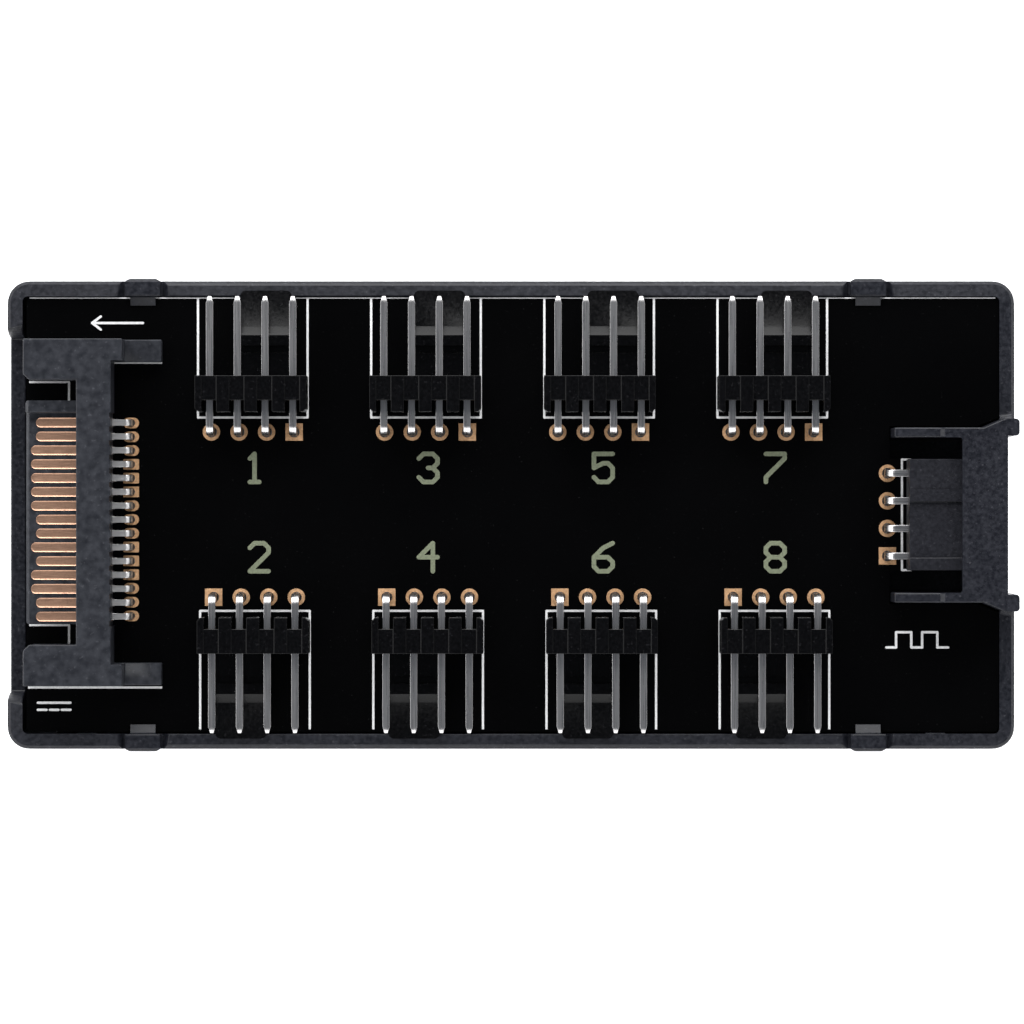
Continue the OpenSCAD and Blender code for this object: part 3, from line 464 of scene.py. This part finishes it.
def soften(bm, width_mm):
    """Rounds the sharp edges that have room for it, and returns how many there were."""
    chosen = [e for e in bm.edges if len(e.link_faces) == 2 and e.calc_face_angle(0) > SHARP
              and roomy(e, ROOM * width_mm * MM)]
    bmesh.ops.bevel(bm, geom=chosen, offset=width_mm * MM, offset_type="OFFSET", segments=2, profile=0.5,
                    affect="EDGES", clamp_overlap=False)
    bmesh.ops.dissolve_degenerate(bm, dist=SLIVER, edges=bm.edges)
    return len(chosen)


trial = clean_copy("tray")
print("the tray has", len(trial.faces), "clean faces")
trial.free()

# %% [markdown]
# ## Dressing a solid
# After the rounds comes the shading. Smooth shading blends all faces that meet at less than the crease
# angle. A small crease is used where long flat faces meet at small angles and have to stay distinct, as
# on the tray's sloping rim. Weighting the normals by area keeps flat faces flat, so only the rounds shine.
# The stamped contacts are coined first: a die presses the border of their face a little down.

# %% Coining and dressing
FACING_UP = 0.99


def coin(bm, width_mm, drop_mm):
    """Presses down a band along the border of the topmost big face, as a stamping die does."""
    top = max((f for f in bm.faces if f.normal.z > FACING_UP), key=lambda f: f.calc_area())
    border = list(top.verts)
    bmesh.ops.inset_region(bm, faces=[top], thickness=width_mm * MM, use_even_offset=True)
    for vert in border:
        vert.co.z -= drop_mm * MM


def dressed(node, name, material, width_mm, coined=None, crease=35):
    """A softened copy that stands for a solid, coined first where a band's width and drop are given."""
    bm = clean_copy(node)
    if coined:
        coin(bm, *coined)
    rounded = soften(bm, width_mm)
    bmesh.ops.recalc_face_normals(bm, faces=bm.faces)
    mesh = bpy.data.meshes.new(name)
    bm.to_mesh(mesh)
    bm.free()
    mesh.shade_smooth()
    mesh.set_sharp_from_angle(angle=math.radians(crease))
    piece = link(name, mesh)
    piece.modifiers.new("even_shading", "WEIGHTED_NORMAL").keep_sharp = True
    graph = bpy.context.evaluated_depsgraph_get()
    shaded = piece.evaluated_get(graph)
    piece.data = bpy.data.meshes.new_from_object(shaded, preserve_all_data_layers=True, depsgraph=graph)
    piece.modifiers.clear()
    piece.data.materials.append(material)
    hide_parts(node)
    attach(piece, "root")
    print(name, "rounded edges:", rounded, "faces:", len(mesh.polygons))


# %% [markdown]
# ## The mouldings
# The tray, the eight header bases, the power inlet and the control shroud all get softened edges. The
# tray's are the widest, since a big mould is polished by hand, and the headers' are fine and crisp.

# %% Soften the mouldings
CHANNELS = range(1, 9)

dressed("tray", "tray_moulding", case_plastic, width_mm=0.12, crease=8)
dressed("power_inlet_housing", "power_inlet_moulding", inlet_plastic, width_mm=0.1)
dressed("control_input_shroud", "control_input_moulding", shroud_plastic, width_mm=0.07)
for n in CHANNELS:
    dressed(f"fan_header_{n}_base", f"fan_header_{n}_moulding", header_plastic,
            width_mm=0.04, crease=12)

# %% [markdown]
# ## Pins and contacts
# Wire and stampings have crisp edges, which only their plating rounds a little, so these rounds are narrow.
# The pins of the control input lie along X instead of Y, so their drawn lines run the other way.

# %% Soften the pins and contacts
CONTACTS = range(1, 16)
COIN_WIDTH = 0.15
COIN_DROP = 0.07

for n in CHANNELS:
    dressed(f"fan_header_{n}_pins", f"fan_header_{n}_wires", pin_metal, width_mm=0.025)
dressed("control_input_pins", "control_input_wires", side_pin_metal, width_mm=0.05)
for n in CONTACTS:
    dressed(f"power_contact_{n}", f"power_contact_{n}_blade", contact_metal,
            width_mm=0.03, coined=(COIN_WIDTH, COIN_DROP))

# %% [markdown]
# ## Solids that stay
# The board, its pads, the solder, the magnets and the chip parts already have the right shape. They only
# need a finish, which goes into their own material slots.

# %% Finish the remaining solids
MAGNETS = range(1, 5)

kept = {"board": board_mask, "plated_holes": pad_copper, "solder_joints": solder_metal,
        "buffer_chip": chip_plastic, "buffer_chip_legs": chip_legs, "input_fuse": fuse_plastic,
        "smoothing_capacitors": capacitor_ceramic, "signal_resistors": resistor_ceramic,
        **{f"magnet_{n}": magnet_nickel for n in MAGNETS}}
for node, material in kept.items():
    if not nodes[node].material_slots:
        nodes[node].data.materials.append(material)
    for place in nodes[node].material_slots:
        place.material = material
print("kept solids:", len(kept))

# %% [markdown]
# ## Print
# Ink is silk-screened onto the mask: white for the lines and signs, and a dull greenish grey for the
# channel numbers. A thin layer of ink lets the black mask through in places, so its colour is uneven.

# %% Print inks
THIN_SPOT_MM = 0.18
INK_GRAIN_MM = 0.12
INK_GRAIN_DEPTH = 0.003


def ink(name, dark, light):
    """Matt ink that is darker where it lies thin."""
    finish = Finish(name, Roughness=0.5, Specular_IOR_Level=0.4)
    thin = finish.mask(finish.noise(THIN_SPOT_MM, detail=3), low=0.35, high=0.75)
    finish.feed(Base_Color=finish.mix(thin, light, dark))
    finish.relief(finish.noise(INK_GRAIN_MM, detail=2), INK_GRAIN_DEPTH)
    return finish.material


white_ink = ink("white_ink", dark=(0.4, 0.4, 0.41), light=(0.56, 0.56, 0.56))
number_ink = ink("number_ink", dark=(0.08, 0.09, 0.059), light=(0.123, 0.139, 0.089))
print("inks:", white_ink.name, number_ink.name)

# %% [markdown]
# ## The side of a stroke
# Print stands a few hundredths of a millimetre proud. A texture would need an image, and a curve with a
# profile would give mitred corners. So each stroke is a thin ribbon worked out from a list of points: the
# path is shifted to both sides, and the outside of each turn gets a small arc, as a round pen leaves it.

# %% Shifting a path sideways
JOINT_STEP = 0.35


def side_points(points, half, closed, side):
    """The points at one side of a path, with round joints on the outside of each turn."""
    count = len(points)
    made = []
    for i, point in enumerate(points):
        ways = []
        if closed or i > 0:
            ways.append((point - points[i - 1]).normalized())
        if closed or i < count - 1:
            ways.append((points[(i + 1) % count] - point).normalized())
        normals = [Vector((-way.y, way.x)) * side for way in ways]
        if len(normals) == 1:
            made.append(point + normals[0] * half)
            continue
        turn = math.atan2(ways[0].cross(ways[1]), ways[0].dot(ways[1]))
        if turn * side >= 0 or closed:
            made.append(point + (normals[0] + normals[1]).normalized() * half / math.cos(turn / 2))
        else:
            bends = max(2, round(abs(turn) / JOINT_STEP))
            for k in range(bends + 1):
                c, s = math.cos(turn * k / bends), math.sin(turn * k / bends)
                spun = Vector((normals[0].x * c - normals[0].y * s, normals[0].x * s + normals[0].y * c))
                made.append(point + spun * half)
    return made


right_angle = side_points([Vector((0, 0)), Vector((1, 0)), Vector((1, 1))], 0.1, False, -1)
print("outside of a right angle:", len(right_angle), "points")

# %% [markdown]
# ## Ribbons of ink
# An open stroke is one outline: one side, a half circle round the end, the other side back, and a half
# circle round the start. A top face, a bottom face and a wall make it a closed solid. A closed stroke
# is a ring with four loops of points, joined one to the next. The print lies on the board and gets its
# ink as a material of its own.

# %% Laying a ribbon
INK_HEIGHT = 0.02
INK_DEPTH = 0.01
face_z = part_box("board")[1].z / MM


def cap(centre, start, half, steps=6):
    """Points of a half circle that goes clockwise from a direction."""
    first = math.atan2(start.y, start.x)
    angles = [first - math.pi * k / steps for k in range(1, steps)]
    return [centre + Vector((math.cos(a), math.sin(a))) * half for a in angles]


def loop(bm, points, z):
    """Vertices for points in millimetres, all at one height."""
    return [bm.verts.new((p.x * MM, p.y * MM, z * MM)) for p in points]


def ribbon(bm, points, width, lift=0.0, closed=False, round_ends=True):
    """Adds a flat stroke of ink along points in millimetres."""
    path = [Vector(p) for p in points]
    half = width / 2
    left, right = (side_points(path, half, closed, side) for side in (1, -1))
    low, high = face_z - INK_DEPTH, face_z + INK_HEIGHT + lift
    if closed:
        loops = [loop(bm, side, z) for side, z in ((left, high), (right, high), (right, low), (left, low))]
        for one, two in zip(loops, loops[1:] + loops[:1]):
            for i in range(len(one)):
                j = (i + 1) % len(one)
                bm.faces.new((one[i], one[j], two[j], two[i]))
        return
    outline = left
    if round_ends:
        outline = outline + cap(path[-1], left[-1] - path[-1], half)
    outline = outline + right[::-1]
    if round_ends:
        outline = outline + cap(path[0], right[0] - path[0], half)
    top, bottom = loop(bm, outline, high), loop(bm, outline, low)
    bm.faces.new(top)
    bm.faces.new(bottom[::-1])
    for i in range(len(outline)):
        j = (i + 1) % len(outline)
        bm.faces.new((top[j], top[i], bottom[i], bottom[j]))


def printed(name, material, strokes):
    """One piece of print from a function that lays its ribbons."""
    bm = bmesh.new()
    strokes(bm)
    bmesh.ops.recalc_face_normals(bm, faces=bm.faces)
    mesh = bpy.data.meshes.new(name)
    bm.to_mesh(mesh)
    bm.free()
    piece = link(name, mesh)
    mesh.materials.append(material)
    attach(piece, "root")
    print(name, "faces:", len(mesh.polygons))


print("ink lies", round(face_z, 2), "mm above the table")

# %% [markdown]
# ## Outlines
# Each outline shows an assembler where a part goes, and one fine line runs along the board's far edge. The
# headers' outlines are placed from the solids' own boxes, so they stay round their parts if the CAD
# changes. The few lines at the power inlet and the control input are plain lists of points. All lengths
# here and below are millimetres on the board.

# %% Print the outlines
LINE = 0.2
EDGE_LINE = 0.1
EDGE_LINE_INSET = 0.3
HEADER_HALF = 5.05
ODD_BACK_GAP = 0.46
EVEN_BACK_GAP = 0.54
EVEN_END_GAP = 0.22
PART_LINES = [
    [(-36.6, 14.04), (-32.15, 14.04)],
    [(-44.5, -15.89), (-32.15, -15.89)],
    [(-44.4, 12.26), (-40.73, 12.26), (-40.73, 10.5)],
    [(-44.4, -10.14), (-40.73, -10.14), (-40.73, -11.9)],
    [(36.9, 5.12), (36.04, 5.12), (36.04, -5.07), (36.9, -5.07)],
]
board_low, board_high = (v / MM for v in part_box("board"))


def header_outline(bm, n):
    """Three lines round a fan header, open towards the board's edge."""
    low, high = (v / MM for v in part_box(f"fan_header_{n}_base"))
    middle = (low.x + high.x) / 2
    left, right = middle - HEADER_HALF, middle + HEADER_HALF
    odd = n % 2 == 1
    back = low.y - ODD_BACK_GAP if odd else high.y + EVEN_BACK_GAP
    end = board_high.y - EDGE_LINE if odd else board_low.y + EVEN_END_GAP
    ribbon(bm, [(left, end), (left, back), (right, back), (right, end)], LINE, round_ends=False)


def part_outlines(bm):
    """The line along the far edge, the headers' outlines and the lines at the two inputs."""
    edge_y = board_high.y - EDGE_LINE / 2
    ends = board_low.x + EDGE_LINE_INSET, board_high.x - EDGE_LINE_INSET
    ribbon(bm, [(x, edge_y) for x in ends], EDGE_LINE, round_ends=False)
    for n in CHANNELS:
        header_outline(bm, n)
    for points in PART_LINES:
        ribbon(bm, points, LINE, round_ends=False)


printed("printed_outlines", white_ink, part_outlines)

# %% [markdown]
# ## Symbols
# Plain signs tell an assembler what goes where: an arrow towards the power inlet, the sign for direct
# current, and a square wave at the control input. They are the same thin ribbons as the outlines. Where
# two strokes overlap, one lies a touch higher, so their faces don't fight.

# %% Print the symbols
SIGN_LINE = 0.22
OVERLAP_LIFT = 0.002
ARROW_SHAFT = [(-33.9, 17.7), (-38.6, 17.7)]
ARROW_HEAD = [(-37.8, 18.3), (-38.6, 17.7), (-37.8, 17.1)]
DIRECT_LINE = [(-43.6, -17.3), (-40.6, -17.3)]
DASH_X = (-43.6, -42.5, -41.4)
DASH_Y = -17.95
DASH_LENGTH = 0.8
WAVE_X = (34.6, 35.5, 36.9, 37.9, 39.3, 40.3)
WAVE_LOW, WAVE_HIGH = -12.2, -10.8


def square_wave():
    """The points of a signal that is switched on and off."""
    levels = [WAVE_HIGH if i % 2 else WAVE_LOW for i in range(len(WAVE_X) - 1)]
    return [(x, level) for pair, level in zip(zip(WAVE_X, WAVE_X[1:]), levels) for x in pair]


def signs(bm):
    """An arrow, the sign for direct current and a square wave."""
    ribbon(bm, ARROW_SHAFT, SIGN_LINE)
    ribbon(bm, ARROW_HEAD, SIGN_LINE, OVERLAP_LIFT)
    ribbon(bm, DIRECT_LINE, SIGN_LINE)
    for x in DASH_X:
        ribbon(bm, [(x, DASH_Y), (x + DASH_LENGTH, DASH_Y)], SIGN_LINE)
    ribbon(bm, square_wave(), SIGN_LINE)


printed("printed_signs", white_ink, signs)

# %% [markdown]
# ## Channel numbers
# The numbers are stroke digits on a grid of four by six, as board software draws them: straight strokes,
# cut corners and round ends. Listing each digit's grid points is shorter than any font, and it needs none.
# No stroke crosses itself, because such a face gets a hole. The 8 is two closed loops.

# %% Print the channel numbers
STEP = 0.431
DIGIT_LINE = 0.42
COLUMN_X = (-24.06, -8.49, 7.65, 23.5)
ODD_Y, EVEN_Y = 3.05, -5.18
LOOPED = (8,)
DIGITS = {
    1: [[(0, 5), (1, 6), (1, 0)], [(0, 0), (2, 0)]],
    2: [[(0, 5), (1, 6), (3, 6), (4, 5), (4, 4), (0, 0), (4, 0)]],
    3: [[(0, 5), (1, 6), (3, 6), (4, 5), (4, 4), (3, 3), (2, 3)],
        [(3, 3), (4, 2), (4, 1), (3, 0), (1, 0), (0, 1)]],
    4: [[(3, 0), (3, 6), (0, 3)], [(0, 3), (4, 3)]],
    5: [[(4, 6), (0, 6), (0, 3), (2, 4), (3, 4), (4, 3), (4, 1), (3, 0), (1, 0), (0, 1)]],
    6: [[(4, 6), (2, 5), (0, 3), (0, 1), (1, 0), (3, 0), (4, 1), (4, 2), (3, 3)], [(3, 3), (0, 3)]],
    7: [[(0, 6), (4, 6), (4, 5), (0, 1), (0, 0)]],
    8: [[(1, 3), (0, 4), (0, 5), (1, 6), (3, 6), (4, 5), (4, 4), (3, 3)],
        [(1, 3), (0, 2), (0, 1), (1, 0), (3, 0), (4, 1), (4, 2), (3, 3)]],
}


def channel_numbers(bm):
    """The digits 1 to 8, each beside its header. The headers stand in pairs."""
    for n, strokes in DIGITS.items():
        x = COLUMN_X[(n - 1) // 2]
        y = ODD_Y if n % 2 else EVEN_Y
        for layer, stroke in enumerate(strokes):
            points = [(x + STEP * u, y + STEP * v) for u, v in stroke]
            ribbon(bm, points, DIGIT_LINE, OVERLAP_LIFT * layer, closed=n in LOOPED)


printed("channel_numbers", number_ink, channel_numbers)

# %% [markdown]
# ## The table's finish
# The table is matt and pale with a hint of paper grain. It glows softly, as a light table does, which
# swallows the product's shadow. Its back is see-through, so the underside can be looked at too.

# %% The table's finish
TABLE_GLOW = 0.45
FIBRE_MM = 0.8
FIBRE_DEPTH = 0.01

table = Finish("studio_paper", Roughness=0.9, Specular_IOR_Level=0.2, Emission_Strength=TABLE_GLOW,
               Emission_Color=(1, 1, 1, 1))
fibre = table.noise(FIBRE_MM, detail=4)
behind = table.node("ShaderNodeNewGeometry", {}, {}, "Backfacing")
table.feed(Base_Color=table.mix(fibre, (0.86, 0.86, 0.87), (0.9, 0.9, 0.91)), Alpha=1 - behind)
table.relief(fibre, FIBRE_DEPTH)
floor.data.materials.append(table.material)
print("table:", table.material.name, "glow:", TABLE_GLOW)

# %% [markdown] ## The end Nothing more is added to the scene.

# %% The end
print("dressing done")
